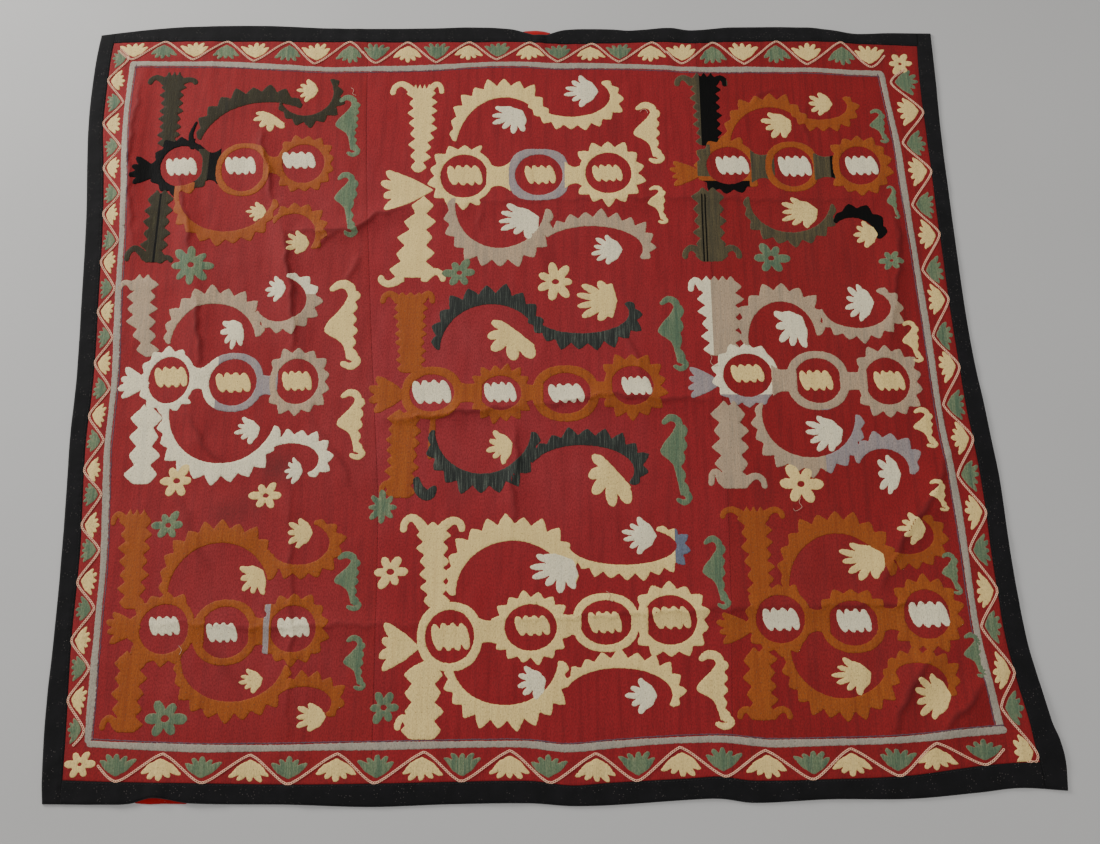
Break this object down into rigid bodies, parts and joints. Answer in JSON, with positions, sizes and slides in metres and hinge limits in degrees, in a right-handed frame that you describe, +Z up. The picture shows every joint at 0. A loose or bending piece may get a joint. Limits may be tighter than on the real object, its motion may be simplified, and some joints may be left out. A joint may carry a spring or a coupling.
{
  "type": "suzani embroidered textile",
  "caption": "Embroidered suzani hanging of joined red cloth widths with ring medallions, a vine border and a dark edge strip, lying flat with soft storage creases.",
  "frame": {"origin": "middle of the outline's bounding box, on the surface that the cloth lies on", "axes": "+X to the right along the long side, +Y towards the top edge, +Z up out of the embroidered face"},
  "size_m": [1.2669, 1.075, 0.0093],
  "materials": {
    "ground_left": "crimson couched silk embroidery on cotton, with upright streaks",
    "ground_middle": "crimson couched silk embroidery on cotton, with upright streaks",
    "ground_right": "deep red couched silk embroidery on cotton, with upright streaks",
    "edge_strip": "matt black cotton strip",
    "lining": "bright red plain cotton"
  },
  "bodies": {
    "root": {"panel_left": "ground_left", "panel_middle": "ground_middle", "panel_right": "ground_right", "binding_left": "edge_strip", "binding_right": "edge_strip", "binding_top": "edge_strip", "binding_bottom": "edge_strip", "lining": "lining"}
  },
  "joints": []
}
